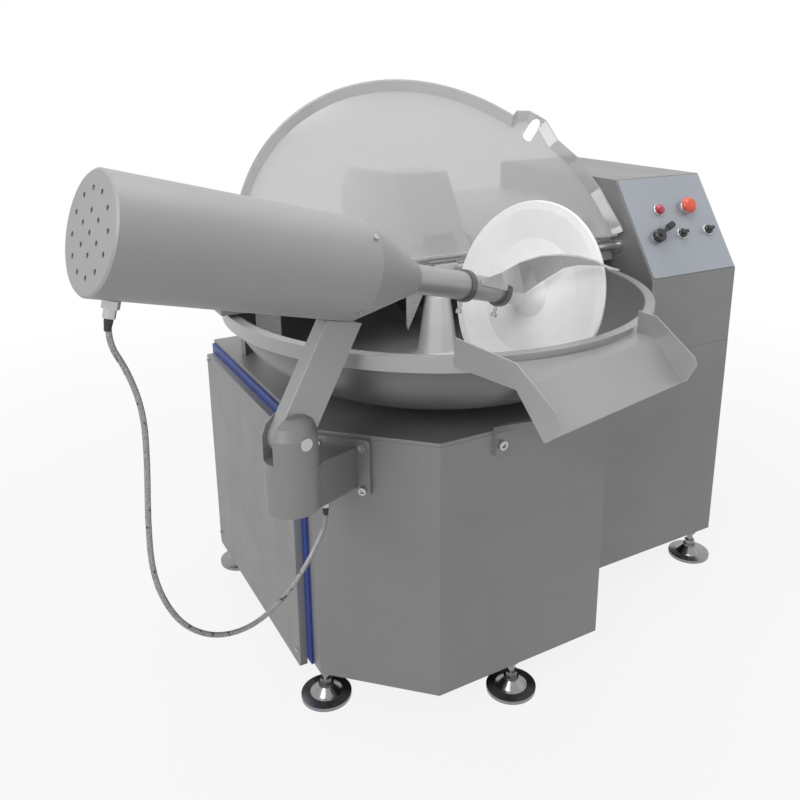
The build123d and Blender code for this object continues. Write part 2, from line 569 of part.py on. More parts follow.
def build_spindle():
    knives = []
    spacers = []
    blank = knife_blank()
    for count in range(KNIVES):
        left = KNIFE_START + KNIFE_PITCH * count
        plane = Plane(origin=(left, SPINDLE_Y, SPINDLE_Z), x_dir=(0, cos(radians(60 * count)),
                      sin(radians(60 * count))), z_dir=(1, 0, 0))
        knives.append(prism(blank, plane, KNIFE_THICK))
        spacers.append(rod((left + KNIFE_THICK, SPINDLE_Y, SPINDLE_Z), (1, 0, 0), KNIFE_HUB - 6,
                           KNIFE_PITCH - KNIFE_THICK, SPINDLE_RADIUS))
    node("knives", *knives)
    node("knife_spacers", *spacers)
    stack_end = KNIFE_START + KNIFE_PITCH * KNIVES
    axis = (1, 0, 0)
    node("knife_spacers", hexagon((KNIFE_START - 14, SPINDLE_Y, SPINDLE_Z), axis, 62, 14, SPINDLE_RADIUS))
    sheave_end = SHEAVE_LEFT + SHEAVE_WIDTH
    shaft_left = KNIFE_START - 16
    shaft = rod((shaft_left, SPINDLE_Y, SPINDLE_Z), axis, SPINDLE_RADIUS, sheave_end + 8 - shaft_left)
    shaft += rod((stack_end, SPINDLE_Y, SPINDLE_Z), axis, KNIFE_HUB - 8, 10)
    node("knife_shaft", shaft)

    arm_length = PEDESTAL_LEFT - ARM_LEFT
    side = Plane.YZ.offset(ARM_LEFT)
    half = ARM_HALF
    arm = prism([(SPINDLE_Y - half, ARM_BOTTOM), (SPINDLE_Y - half, ARM_TOP - 30),
                 (SPINDLE_Y - half + 30, ARM_TOP), (SPINDLE_Y + half - 30, ARM_TOP),
                 (SPINDLE_Y + half, ARM_TOP - 30), (SPINDLE_Y + half, ARM_BOTTOM)], side, arm_length)
    boss_end = 300.0
    arm += rod((ARM_LEFT, SPINDLE_Y, SPINDLE_Z), axis, SPINDLE_BEARING + 12, boss_end - ARM_LEFT)
    arm -= rod((ARM_LEFT, SPINDLE_Y, SPINDLE_Z), axis, SPINDLE_RADIUS + AIR, arm_length)
    arm -= rod((ARM_LEFT, SPINDLE_Y, SPINDLE_Z), axis, SPINDLE_BEARING, BEARING_WIDTH)
    node("spindle_arm", arm)

    pedestal_right = PEDESTAL_LEFT + PEDESTAL_THICK
    pedestal = prism([(0, BODY_BOTTOM + FRAME_HEIGHT), (0, 620), (SPINDLE_Y - 90, 860),
                      (SPINDLE_Y - 90, ARM_TOP), (SPINDLE_Y + 90, ARM_TOP), (SPINDLE_Y + 90, 860),
                      (420, 620), (420, BODY_BOTTOM + FRAME_HEIGHT)],
                     Plane.YZ.offset(PEDESTAL_LEFT), PEDESTAL_THICK)
    pedestal -= rod((PEDESTAL_LEFT, SPINDLE_Y, SPINDLE_Z), axis, SPINDLE_RADIUS + AIR, PEDESTAL_THICK)
    pedestal -= rod((pedestal_right - BEARING_WIDTH, SPINDLE_Y, SPINDLE_Z), axis, SPINDLE_BEARING,
                    BEARING_WIDTH)
    pedestal -= rod((PEDESTAL_LEFT, MOTOR_Y, MOTOR_Z), axis, MOTOR_SHAFT + 8, PEDESTAL_THICK)
    node("spindle_pedestal", pedestal)
    node("shaft_bearings", *[
        rod((x, SPINDLE_Y, SPINDLE_Z), axis, SPINDLE_BEARING, BEARING_WIDTH, SPINDLE_RADIUS + RUNNING)
        for x in (ARM_LEFT, pedestal_right - BEARING_WIDTH)])

    def sheave(radius, bore, y, z):
        """Grooved pulley: a groove of the belt's own section for each belt."""
        pitch = SHEAVE_WIDTH / BELTS
        profile = [(bore, 0), (radius + BELT_THICK, 0)]
        for belt in range(BELTS):
            left = pitch * belt
            profile += [(radius + BELT_THICK, left + 3), (radius - 0.3, left + 5),
                        (radius - 0.3, left + pitch - 5), (radius + BELT_THICK, left + pitch - 3)]
        profile += [(radius + BELT_THICK, SHEAVE_WIDTH), (bore, SHEAVE_WIDTH)]
        return turned(profile, (SHEAVE_LEFT, y, z), axis)

    node("spindle_sheave", sheave(SPINDLE_SHEAVE, SPINDLE_RADIUS, SPINDLE_Y, SPINDLE_Z))
    node("motor_sheave", sheave(MOTOR_SHEAVE, MOTOR_SHAFT, MOTOR_Y, MOTOR_Z))
    loops = []
    for belt in range(BELTS):
        pitch = SHEAVE_WIDTH / BELTS
        plane = Plane.YZ.offset(SHEAVE_LEFT + pitch * belt + 5.3)
        wheels = ((SPINDLE_Y, SPINDLE_Z, SPINDLE_SHEAVE), (MOTOR_Y, MOTOR_Z, MOTOR_SHEAVE))
        loops.append(prism(around(wheels, BELT_THICK - 1) - around(wheels, 0), plane, pitch - 10.6))
    node("drive_belts", *loops)

    motor_start = PEDESTAL_LEFT - MOTOR_LENGTH
    motor = rod((motor_start, MOTOR_Y, MOTOR_Z), axis, MOTOR_RADIUS, MOTOR_LENGTH - 16)
    motor += rod((PEDESTAL_LEFT - 16, MOTOR_Y, MOTOR_Z), axis, MOTOR_RADIUS + 15, 16)
    motor += block((motor_start + 90, motor_start + 190), (MOTOR_Y - 50, MOTOR_Y + 50),
                   (MOTOR_Z + MOTOR_RADIUS - 20, MOTOR_Z + MOTOR_RADIUS + 45))
    motor -= rod((motor_start + 60, MOTOR_Y, MOTOR_Z), axis, MOTOR_SHAFT + RUNNING, MOTOR_LENGTH)
    node("knife_motor", motor)
    node("motor_sheave", rod((motor_start + 60, MOTOR_Y, MOTOR_Z), axis, MOTOR_SHAFT,
                             sheave_end + 6 - motor_start - 60))


# ---- Covers over the back of the bowl ------------------------------------------------------------
def shaft_slot(left, thick, reach):
    """Opening for the spindle in an upright sheet, open at the bottom."""
    hole = rod((left, SPINDLE_Y, SPINDLE_Z), (1, 0, 0), reach, thick)
    return hole + block((left, left + thick), (SPINDLE_Y - reach, SPINDLE_Y + reach),
                        (SPINDLE_Z - 60, SPINDLE_Z))


def build_covers():
    casing = casing_outline()
    length = CABINET_LEFT - CASING_LEFT
    shell = prism(casing, Plane.YZ.offset(CASING_LEFT), length)
    inner = inset(casing, SHEET)
    shell -= prism(inner, Plane.YZ.offset(CASING_LEFT + SHEET), length)
    shell -= block((CASING_LEFT + SHEET, CABINET_LEFT), (CASING_FRONT + SHEET + 1, BODY_BACK - 5 - SHEET),
                   (CASING_BOTTOM, CASING_BOTTOM + 10))
    shell -= shaft_slot(CASING_LEFT, SHEET, SPINDLE_RADIUS + 3)
    node("spindle_casing", shell)

    shoulder = 912.0
    top_front = HOOD_FRONT + (HOOD_TOP - shoulder) * sin(radians(HOOD_LEAN)) / cos(radians(HOOD_LEAN))
    profile = face_of([(HOOD_FRONT, HOOD_BOTTOM), (HOOD_FRONT, shoulder), (top_front, HOOD_TOP),
                       (HOOD_BACK - 60, HOOD_TOP), (HOOD_BACK, HOOD_TOP - 60), (HOOD_BACK, HOOD_BOTTOM)])
    side = Plane.YZ.offset(HOOD_LEFT)
    width = HOOD_RIGHT - HOOD_LEFT
    hood = prism(profile, side, width)
    hood -= prism(inset(profile, SHEET), side.offset(SHEET), width - 2 * SHEET)
    hood -= block((HOOD_LEFT + SHEET, HOOD_RIGHT - SHEET), (HOOD_FRONT + SHEET, HOOD_BACK - SHEET),
                  (HOOD_BOTTOM, HOOD_BOTTOM + 10))
    hood -= shaft_slot(HOOD_RIGHT - SHEET, SHEET, SPINDLE_RADIUS + 4)
    left, right = HOOD_LEFT + 20, HOOD_RIGHT - 20
    third = (right - left) / 3
    barrel = 2 * HINGE_PIN
    for start in (left, right - third):
        leaf = rod((start, HOOD_HINGE_Y, HOOD_HINGE_Z), (1, 0, 0), barrel, third)
        leaf += block((start, start + third), (HOOD_BACK - 1, HOOD_HINGE_Y), (HOOD_HINGE_Z - 6, HOOD_HINGE_Z + 4))
        hood += leaf - rod((start, HOOD_HINGE_Y, HOOD_HINGE_Z), (1, 0, 0), HINGE_PIN + RUNNING, third)
    node("knife_hood", hood)
    post = block((left, right), (RIM_RADIUS + 5, BODY_BACK - 4), (DECK_TOP, HOOD_HINGE_Z - barrel - 2))
    middle = (left + third + AIR, right - third - AIR)
    knuckle = rod((middle[0], HOOD_HINGE_Y, HOOD_HINGE_Z), (1, 0, 0), barrel, middle[1] - middle[0])
    knuckle += block(middle, (HOOD_HINGE_Y - 6, HOOD_HINGE_Y + 6), (HOOD_HINGE_Z - barrel - 2, HOOD_HINGE_Z))
    knuckle -= rod((middle[0], HOOD_HINGE_Y, HOOD_HINGE_Z), (1, 0, 0), HINGE_PIN, middle[1] - middle[0])
    node("cover_posts", post + knuckle)
    node("cover_posts", rod((left - 3, HOOD_HINGE_Y, HOOD_HINGE_Z), (1, 0, 0), HINGE_PIN, right - left + 6))

    reach = BODY_BACK - 4
    plan = Circle(reach) & Pos((COVER_LEFT + COVER_RIGHT) / 2, reach / 2) * Rectangle(
        COVER_RIGHT - COVER_LEFT, reach)
    cover = prism(plan, Plane.XY.offset(COVER_BOTTOM), COVER_TOP - COVER_BOTTOM)
    cover -= prism(inset(plan, SHEET), Plane.XY.offset(COVER_BOTTOM), COVER_TOP - COVER_BOTTOM - SHEET)
    node("bowl_cover", cover)
    posts = []
    for turn in (100, 133):
        post = block((RIM_RADIUS + 5, reach - SHEET), (-30, 30), (DECK_TOP, COVER_TOP - SHEET))
        posts.append((Rot(0, 0, turn) * post) & prism(inset(plan, SHEET), Plane.XY.offset(DECK_TOP),
                                                      COVER_TOP - SHEET - DECK_TOP))
    node("cover_posts", *posts)
    lip_top = COVER_TOP - 7
    flap_right = -TROUGH_RADIUS - FLAP_OUT
    flap = prism([(flap_right - FLAP_WIDTH, FLAP_BOTTOM), (flap_right, FLAP_BOTTOM), (flap_right, lip_top),
                  (flap_right - FLAP_WIDTH, lip_top)], Plane.XZ, SCRAPER_THICK)
    fin = prism([(-82, lip_top), (-82, 800), (-78, FIN_TIP), (-37, 870), (-37, lip_top)], Plane.XZ,
                SCRAPER_THICK)
    node("bowl_scrapers", flap, fin)


# ---- Clear lid -----------------------------------------------------------------------------------
def opened(shape):
    """Turn a piece drawn with the lid closed to the open position."""
    hinge = Pos(0, LID_HINGE_Y, LID_HINGE_Z)
    return hinge * Rot(-LID_OPEN, 0, 0) * Pos(0, -LID_HINGE_Y, -LID_HINGE_Z) * shape


def lid_outline():
    """Plan of the closed lid: half disc, wider side by the cabinet, and the handle's lobe."""
    half = Circle(LID_RADIUS) & Pos(0, LID_REAR - LID_RADIUS) * Rectangle(3 * LID_RADIUS, 2 * LID_RADIUS)
    side = face_of([(0, LID_REAR), (LID_RIGHT, LID_REAR), (LID_RIGHT, -56), (481, -161), (446, -249),
                    (404, -300), (390, -356), (351, -384), (311, -386), (200, -300)])
    return half + side


def slanted_tray(plan, low, high, slant):
    """Solid between an outline and the same outline drawn in higher up."""
    return loft([(Plane.XY.offset(low) * plan).face(), (Plane.XY.offset(high) * inset(plan, slant)).face()],
                ruled=True)


def build_lid():
    plan = lid_outline()
    rise = LID_PLATE_Z - LID_EDGE_Z
    tray = slanted_tray(plan, LID_EDGE_Z, LID_PLATE_Z, LID_SKIRT)
    tray -= slanted_tray(inset(plan, LID_SHEET), LID_EDGE_Z, LID_PLATE_Z - LID_SHEET,
                         LID_SKIRT - 0.4 * LID_SHEET)
    tray -= block((-600, 600), (LID_REAR - 14, LID_REAR + 1), (LID_EDGE_Z - 1, LID_PLATE_Z - 10))
    hand = Pos(348, -338, LID_EDGE_Z) * Rot(0, 0, -42) * extrude(SlotOverall(70, 26), 2 * rise)
    node("lid", opened(tray - hand))
    node("lid_shaft", rod((LID_SHAFT_LEFT, LID_HINGE_Y, LID_HINGE_Z), (1, 0, 0), LID_SHAFT,
                          CABINET_LEFT + 38 - LID_SHAFT_LEFT))
    clamps, nuts = [], []
    for x in (0, 400):
        clamp = rod((x - 30, LID_HINGE_Y, LID_HINGE_Z), (1, 0, 0), LID_SHAFT + 6, 60)
        clamp += block((x - 42, x + 42), (-95, LID_HINGE_Y - 8), (LID_PLATE_Z, LID_PLATE_Z + 7))
        clamp -= rod((x - 42, LID_HINGE_Y, LID_HINGE_Z), (1, 0, 0), LID_SHAFT, 84)
        clamps.append(opened(clamp))
        for side in (-28, 28):
            stud = rod((x + side, -80, LID_PLATE_Z + 7), (0, 0, 1), 8, 8)
            wings = prism([(-17, 20), (-17, 12), (-7, 0), (7, 0), (17, 12), (17, 20), (8, 8), (-8, 8)],
                          Plane.XZ.offset(2), 4)
            stud += Pos(x + side, -80, LID_PLATE_Z + 9) * wings
            nuts.append(opened(stud))
    node("lid_clamps", *clamps)
    node("lid_clamps", *nuts)
    bush_length = 35.0
    bush = rod((CABINET_LEFT, LID_HINGE_Y, LID_HINGE_Z), (1, 0, 0), LID_SHAFT + 6, bush_length,
               LID_SHAFT + RUNNING)
    bush += rod((CABINET_LEFT - 5, LID_HINGE_Y, LID_HINGE_Z), (1, 0, 0), LID_SHAFT + 7, 5,
                LID_SHAFT + RUNNING)
    node("shaft_bearings", bush)


# ---- Discharger ------------------------------------------------------------------------------------
AXIS = Vector(*REACH).normalized()
SIDE = Vector(-AXIS.Y, AXIS.X, 0).normalized()     # horizontal, across the discharger
LIFT = AXIS.cross(SIDE)                            # across the discharger, upwards
SWING = Vector(SIDE.Y, -SIDE.X, 0)                 # horizontal, in the discharger's upright plane


def station(distance, across=0.0, up=0.0):
    """Point on or beside the discharger's axis."""
    return Vector(*CAP_CENTRE) + AXIS * distance + SIDE * across + LIFT * up


def along_axis(profile):
    return turned(profile, CAP_CENTRE, AXIS)


def build_discharger():
    wall = SHEET
    outer, inner = CASE_RADIUS, CASE_RADIUS - wall
    cap = along_axis([(0, 0), (outer - 3, 0), (outer, 3), (outer, CAP_THICK), (inner, CAP_THICK),
                      (inner, wall), (0, wall)])
    for ring, holes in ((0, 1), (30, 6), (60, 12)):
        for count in range(holes):
            turn = radians(360 / holes * count + 10)
            cap -= rod(station(-1, ring * sin(turn), ring * cos(turn)), AXIS, 4, wall + 2)
    node("end_cap", cap)
    case = along_axis([(outer, CAP_THICK), (outer, CASE_END), (inner, CASE_END), (inner, CAP_THICK)])
    node("motor_housing", case)
    node("front_cone", along_axis([
        (outer, CASE_END), (TUBE_RADIUS + wall, CONE_END), (TUBE_RADIUS, CONE_END),
        (TUBE_RADIUS, CONE_END - wall), (inner - wall, CASE_END + wall + 3), (inner - wall, CASE_END - 20),
        (inner, CASE_END - 20), (inner, CASE_END)]))
    screws = [
        rod(station(CASE_END - 10, (outer - 1) * sin(turn), (outer - 1) * cos(turn)),
            SIDE * sin(turn) + LIFT * cos(turn), 5, 5)
        for turn in (radians(45 + 90 * count) for count in range(4))]
    screw_holes = rod(station(0), AXIS, outer, CASE_END)
    node("housing_fittings", *[screw - screw_holes for screw in screws])

    bore = DRIVE_RADIUS + 5
    node("carrier_tube", along_axis([(bore, CASE_END + 60), (TUBE_RADIUS, CASE_END + 60),
                                     (TUBE_RADIUS, TUBE_END), (bore, TUBE_END)]))
    node("sleeve", along_axis([(bore, TUBE_END), (SLEEVE_RADIUS, TUBE_END), (SLEEVE_RADIUS, SLEEVE_END),
                               (bore, SLEEVE_END)]))
    node("clamp_collars", *[along_axis([(SLEEVE_RADIUS, start), (SLEEVE_RADIUS + 7, start),
                                        (SLEEVE_RADIUS + 7, start + 11), (SLEEVE_RADIUS, start + 11)])
                            for start in (TUBE_END + 0.5, SLEEVE_END - 12)])
    clamp_screws = []
    for start in (TUBE_END + 6, SLEEVE_END - 6.5):
        root = station(start, 0, -SLEEVE_RADIUS - 7)
        clamp_screws.append(rod(root, LIFT * -1, 3.5, 14) + rod(root - LIFT * 14, LIFT * -1, 6, 8))
    node("clamp_screws", *clamp_screws)
    node("shaft_bushes", *[along_axis([(DRIVE_RADIUS + RUNNING, start), (bore, start), (bore, start + 20),
                                       (DRIVE_RADIUS + RUNNING, start + 20)])
                           for start in (CASE_END + 70, SLEEVE_END - 24)])
    motor = along_axis([(0, 60), (64, 60), (70, 68), (70, 322), (inner, 330), (inner, 410),
                        (DRIVE_RADIUS + AIR, 410), (DRIVE_RADIUS + AIR, 380), (0, 380)])
    node("discharge_gearmotor", motor)
    node("drive_shaft", along_axis([(0, 390), (DRIVE_RADIUS, 390), (DRIVE_RADIUS, DISC_STATION + 26),
                                    (0, DISC_STATION + 26)]))
    hub_start = SLEEVE_END + 1
    rim = DISC_STATION
    dish = DISC_DISH
    node("discharge_disc", along_axis([
        (DRIVE_RADIUS, hub_start), (22, hub_start), (25, rim - 20), (46, rim + dish - 2),
        (DISC_RADIUS - 75, rim + dish - 2), (DISC_RADIUS - 18, rim - 3), (DISC_RADIUS - 2, rim - 4),
        (DISC_RADIUS, rim - 1), (DISC_RADIUS, rim + 3), (DISC_RADIUS - 18, rim - 3 + DISC_THICK),
        (DISC_RADIUS - 75, rim + dish - 2 + DISC_THICK), (DRIVE_RADIUS, rim + dish - 2 + DISC_THICK)]))
    nut_start = DISC_STATION + DISC_DISH - 2 + DISC_THICK
    node("drive_shaft", hexagon(station(nut_start), AXIS, 34, 10, DRIVE_RADIUS))

    build_deflector()


BLADE_THICK = 3.0
BLADE_RULINGS = [          # (station, towards the front, up) of the blade's near edge and its far edge
    ((728, 18.2, 16.2), (728, 23.6, 6.7)),
    ((782, 17, 37), (790, 23.8, 4)),
    ((806, 33, 62), (845, 29.5, 5)),
    ((806, 58, 74), (866, 40, 28)),
    ((806, 88, 86), (868, 67, 51)),
    ((806, 131, 95), (868, 95, 72)),
    ((806, 172, 99), (868, 128, 84)),
    ((806, 212, 97), (868, 178, 91)),
    ((806, 245, 88), (868, 222, 89)),
]


def discharger_point(distance, front, up):
    """Point given by its station along the discharger, and how far to its front and above it."""
    return station(distance) - SIDE * front + LIFT * up


def build_deflector():
    """Twisted blade welded along the sleeve, sweeping the motor side of the disc to the front."""
    edges = [[discharger_point(*end) for end in ruling] for ruling in BLADE_RULINGS]
    sections = []
    for count, (near, far) in enumerate(edges):
        before, after = edges[max(count - 1, 0)], edges[min(count + 1, len(edges) - 1)]
        onward = (after[0] + after[1]) - (before[0] + before[1])
        down = (far - near).cross(onward).normalized() * BLADE_THICK
        sections.append(face_of([near, far, far + down, near + down]))
    blade = loft(sections, ruled=True)
    blade -= rod(station(TUBE_END), AXIS, SLEEVE_RADIUS, SLEEVE_END - TUBE_END)
    blade -= rod(station(SLEEVE_END - 13), AXIS, SLEEVE_RADIUS + 7.5, 13.5)
    blade -= rod(station(SLEEVE_END), AXIS, SLEEVE_RADIUS + 4, 80)
    node("deflector", blade)


# ---- Pivot that carries the discharger ---------------------------------------------------------
FLANGE_NORMAL = Vector(-1, -1, 0).normalized()
FLANGE_ALONG = Vector(1, -1, 0).normalized()
BRACKET_SCREW = 5.0
FLANGE_CENTRE = 65.0      # along the big corner, from its left edge
SPIGOT_RADIUS = 28.0


def corner_point(along, out, z):
    """Point beside the body's big corner face."""
    start = Vector(BODY_LEFT, BODY_FRONT + BODY_CHAMFER, z)
    return start + FLANGE_ALONG * along + FLANGE_NORMAL * out


def bracket_screw_places():
    reach = FLANGE_SIZE / 2 - 14.5
    return [corner_point(FLANGE_CENTRE + x, FLANGE_THICK, FLANGE_Z + z)
            for x in (-reach, reach) for z in (-reach, reach)]


def build_pivot():
    half = FLANGE_SIZE / 2
    flange = prism(Pos(FLANGE_CENTRE, FLANGE_Z) * RectangleRounded(FLANGE_SIZE, FLANGE_SIZE, 8),
                   Plane(origin=corner_point(0, 0, 0), x_dir=FLANGE_ALONG, z_dir=FLANGE_NORMAL),
                   FLANGE_THICK)
    root = corner_point(FLANGE_CENTRE, 0, 0)
    reach = hypot(PIVOT[0] - root.X, PIVOT[1] - root.Y)
    web_plane = Plane(origin=root + FLANGE_ALONG * 35, x_dir=FLANGE_NORMAL, z_dir=FLANGE_ALONG * -1)
    web = prism([(FLANGE_THICK - 1, FLANGE_Z - half + 20), (reach, BARREL_BOTTOM - 4),
                 (reach, BARREL_TOP - 6), (reach - 46, BARREL_TOP - 6),
                 (FLANGE_THICK - 1, FLANGE_Z + half - 16)], web_plane, 70)
    barrel_base = (PIVOT[0], PIVOT[1], BARREL_BOTTOM)
    height = BARREL_TOP - BARREL_BOTTOM
    web -= rod(barrel_base, (0, 0, 1), HEAD_RADIUS - 1, height)
    bracket = flange + web + rod(barrel_base, (0, 0, 1), HEAD_RADIUS, height)
    bracket -= rod(barrel_base, (0, 0, 1), SPIGOT_RADIUS, height)
    for screw in bracket_screw_places():
        bracket -= rod(screw, FLANGE_NORMAL * -1, BRACKET_SCREW, FLANGE_THICK)
    bracket -= hexagon(LOWER_GLAND, (0, 0, -1), 2 * GLAND_RADIUS, 16)
    node("swivel_bracket", bracket)
    node("body_fittings", *[socket_screw(screw, FLANGE_NORMAL, BRACKET_SCREW, FLANGE_THICK + SHEET + 4)
                             for screw in bracket_screw_places()])

    head = turned([(0, BARREL_BOTTOM + 6), (SPIGOT_RADIUS, BARREL_BOTTOM + 6), (SPIGOT_RADIUS, BARREL_TOP),
                   (HEAD_RADIUS, BARREL_TOP), (HEAD_RADIUS, PIVOT[2] + 6), (HEAD_RADIUS - 7, PIVOT[2] + 25),
                   (HEAD_RADIUS - 20, HEAD_TOP - 6), (HEAD_RADIUS - 36, HEAD_TOP), (0, HEAD_TOP)],
                  (PIVOT[0], PIVOT[1], 0))
    swing_plane = Plane(origin=Vector(*PIVOT) + SIDE * (SWING_ARM_THICK / 2), x_dir=SWING, z_dir=SIDE * -1)
    slot_half = SWING_ARM_THICK / 2 + AIR
    slot_plane = Plane(origin=Vector(*PIVOT) + SIDE * slot_half, x_dir=SWING, z_dir=SIDE * -1)
    floor = SWING_ARM_WIDTH / 2 + 2
    head -= prism(Pos(0, 50 - floor) * Rectangle(120, 100), slot_plane, 2 * slot_half)
    pin_start = Vector(*PIVOT) + SIDE * (HEAD_RADIUS + 4)
    head -= rod(pin_start, SIDE * -1, PIN_RADIUS, 2 * HEAD_RADIUS + 8)
    node("pivot_head", head)
    node("pivot_pin", rod(pin_start, SIDE * -1, PIN_RADIUS, 2 * HEAD_RADIUS + 8))

    foot = station(440, 0, -CASE_RADIUS + 30) - Vector(*PIVOT)
    length = foot.length
    lean = degrees(atan2(foot.Z, foot.dot(SWING)))
    bar = Rot(0, 0, lean) * (Pos(length / 2, 0) * Rectangle(length, SWING_ARM_WIDTH)
                             + Circle(SWING_ARM_WIDTH / 2))
    bar -= Circle(PIN_RADIUS + RUNNING)
    arm = prism(bar, swing_plane, SWING_ARM_THICK)
    arm -= rod(station(0), AXIS, CASE_RADIUS, 640)
    node("swing_arm", arm)


# ---- Discharge chute -----------------------------------------------------------------------------
STRAP_X = -59.0
STRAP_Z = 643.0
STRAP_SCREW = 6.0
STRAP_WIDTH = 30.0
STRAP_THICK = 6.0


def build_chute():
    out = Vector(cos(radians(CHUTE_TURN)), sin(radians(CHUTE_TURN)), 0)
    across = Vector(-out.Y, out.X, 0)
    width = CHUTE_RIGHT - CHUTE_LEFT
    plane = Plane(origin=across * CHUTE_RIGHT, x_dir=out, z_dir=across * -1)
    floor_top = CHUTE_FLOOR_Z + 2
    floor = [(360, floor_top), (CHUTE_BEND, CHUTE_FLOOR_Z), (CHUTE_FRONT, CHUTE_FRONT_Z),
             (CHUTE_FRONT - 3, CHUTE_FRONT_Z - 3), (CHUTE_BEND - 2, CHUTE_FLOOR_Z - CHUTE_SHEET),
             (360, floor_top - CHUTE_SHEET)]
    cheek = [(360, floor_top - CHUTE_SHEET), (360, floor_top + 50), (CHUTE_BEND - 4, floor_top + 40),
             (CHUTE_FRONT + 20, CHUTE_FRONT_Z + 54), (CHUTE_FRONT + 26, CHUTE_FRONT_Z + 40),
             (CHUTE_FRONT + 8, CHUTE_FRONT_Z + 4), (CHUTE_FRONT - 3, CHUTE_FRONT_Z - 3),
             (CHUTE_BEND - 2, CHUTE_FLOOR_Z - CHUTE_SHEET)]
    chute = prism(floor, plane, width)
    for start in (0, width - CHUTE_SHEET):
        chute += prism(cheek, plane.offset(start), CHUTE_SHEET)
    chute -= rod((0, 0, 700), (0, 0, 1), RIM_RADIUS + CHUTE_GAP, 300)
    node("chute", chute)

    bolt = Vector(STRAP_X, BODY_FRONT, STRAP_Z)
    strap_plane = Plane(origin=across * (bolt.dot(across) + STRAP_WIDTH / 2), x_dir=out, z_dir=across * -1)
    wall = bolt.dot(out)
    tip = CHUTE_FRONT - 12
    tip_z = CHUTE_FLOOR_Z - (tip - CHUTE_BEND) * (CHUTE_FLOOR_Z - CHUTE_FRONT_Z) / (CHUTE_FRONT - CHUTE_BEND)
    strap = prism([(wall - 40, STRAP_Z - 22), (wall + STRAP_THICK, STRAP_Z - 22),
                   (wall + STRAP_THICK, STRAP_Z + 26), (tip, tip_z - 12), (tip, tip_z + 20),
                   (tip - 60, tip_z + 20), (tip - STRAP_THICK, tip_z - 10),
                   (wall, STRAP_Z + 38), (wall - 40, STRAP_Z + 38)], strap_plane, STRAP_WIDTH)
    strap -= block((-400, 400), (BODY_FRONT, 0), (400, 900))
    under = [(0, 900), (360, floor_top - CHUTE_SHEET), (CHUTE_BEND - 2, CHUTE_FLOOR_Z - CHUTE_SHEET),
             (CHUTE_FRONT - 3, CHUTE_FRONT_Z - 3), (CHUTE_FRONT + 60, CHUTE_FRONT_Z), (700, 900)]
    strap -= prism(under, plane, width)
    screw = rod((STRAP_X, BODY_FRONT - STRAP_THICK - 1, STRAP_Z), (0, 1, 0), STRAP_SCREW, 20)
    seat = rod((STRAP_X, BODY_FRONT - STRAP_THICK, STRAP_Z), (0, -1, 0), 1.6 * STRAP_SCREW + AIR, 30)
    node("chute_strap", strap - screw - seat)
    node("body_fittings", socket_screw((STRAP_X, BODY_FRONT - STRAP_THICK, STRAP_Z), (0, -1, 0), STRAP_SCREW,
                                       STRAP_THICK + SHEET + 4))


# ---- Discharger cable ----------------------------------------------------------------------------
GLAND_STATION = 44.0
GLAND_LENGTH = 25.0
GLAND_RADIUS = 11.0
LOWER_GLAND = (-400.0, -267.0, 596.0)


def route():
    """Cable route from the motor housing's gland to the gland under the bracket."""
    upper = station(GLAND_STATION, 0, -CASE_RADIUS - GLAND_LENGTH)
    lower = Vector(*LOWER_GLAND) - Vector(0, 0, GLAND_LENGTH + 4)
    return [upper, upper - LIFT * 36, Vector(-749, -399, 936), Vector(-733, -393, 868),
            Vector(-731, -392, 790), Vector(-738, -394, 698), Vector(-741, -395, 612),
            Vector(-723, -388, 541), Vector(-690, -376, 480), Vector(-638, -356, 431),
            Vector(-573, -333, 411), Vector(-508, -308, 425), Vector(-452, -287, 465),
            Vector(-414, -272, 510), lower - Vector(0, 0, 32), lower]


def build_cable():
    points = route()
    radii = []
    for before, corner, after in zip(points, points[1:], points[2:]):
        run_in, run_out = corner - before, after - corner
        half = radians(run_in.get_angle(run_out)) / 2
        radii.append(0.45 * min(run_in.length, run_out.length) / (sin(half) / cos(half)))
    path = FilletPolyline(*points, radius=radii)
    tube = sweep(Plane(origin=points[0], z_dir=points[1] - points[0]) * Circle(CABLE_RADIUS), path=path)
    print("cable length", round(path.length), "radii", [round(radius) for radius in radii])
    print("runs", [round((b - a).length) for a, b in zip(points, points[1:])])
    print("volume ratio", round(tube.volume / (pi * CABLE_RADIUS ** 2 * path.length), 4))
    node("cable", tube)
    upper = station(GLAND_STATION, 0, -CASE_RADIUS)
    lower = Vector(*LOWER_GLAND)
    node("housing_fittings", hexagon(upper, LIFT * -1, 2 * GLAND_RADIUS, 12)
         + rod(upper, LIFT * -1, GLAND_RADIUS - 2, GLAND_LENGTH))
    node("body_fittings", hexagon(lower, (0, 0, -1), 2 * GLAND_RADIUS, 16)
         + rod(lower, (0, 0, -1), GLAND_RADIUS - 2, GLAND_LENGTH + 4))


CORD_NODES = ["cable"]


def build_all():
    build_body()
    build_door()
    build_feet()
    build_cabinet()
    build_switches()
    build_bowl()
    build_spindle()
    build_covers()
    build_lid()
    build_discharger()
    build_pivot()
    build_chute()
    build_cable()


def origin_shift():
    """Vector that brings the bottom centre of the machine's box to the origin."""
    rigid = [solid for name, solids in NODES.items() if name not in CORD_NODES for solid in solids]
    box = Compound(rigid).bounding_box()
    return Vector(-(box.min.X + box.max.X) / 2, -(box.min.Y + box.max.Y) / 2, -box.min.Z)


build_all()
SHIFT = origin_shift()
if __name__ == "__main__":
    os.makedirs("parts", exist_ok=True)
    for name, solids in NODES.items():
        moved = [solid.moved(Location(SHIFT)) for solid in solids]
        export_step(moved[0] if len(moved) == 1 else Compound(moved), f"parts/{name}.step")
    print("shift", SHIFT, "nodes", len(NODES))
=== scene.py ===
import bmesh
import bpy
from math import pi, radians
from mathutils import Matrix, Vector


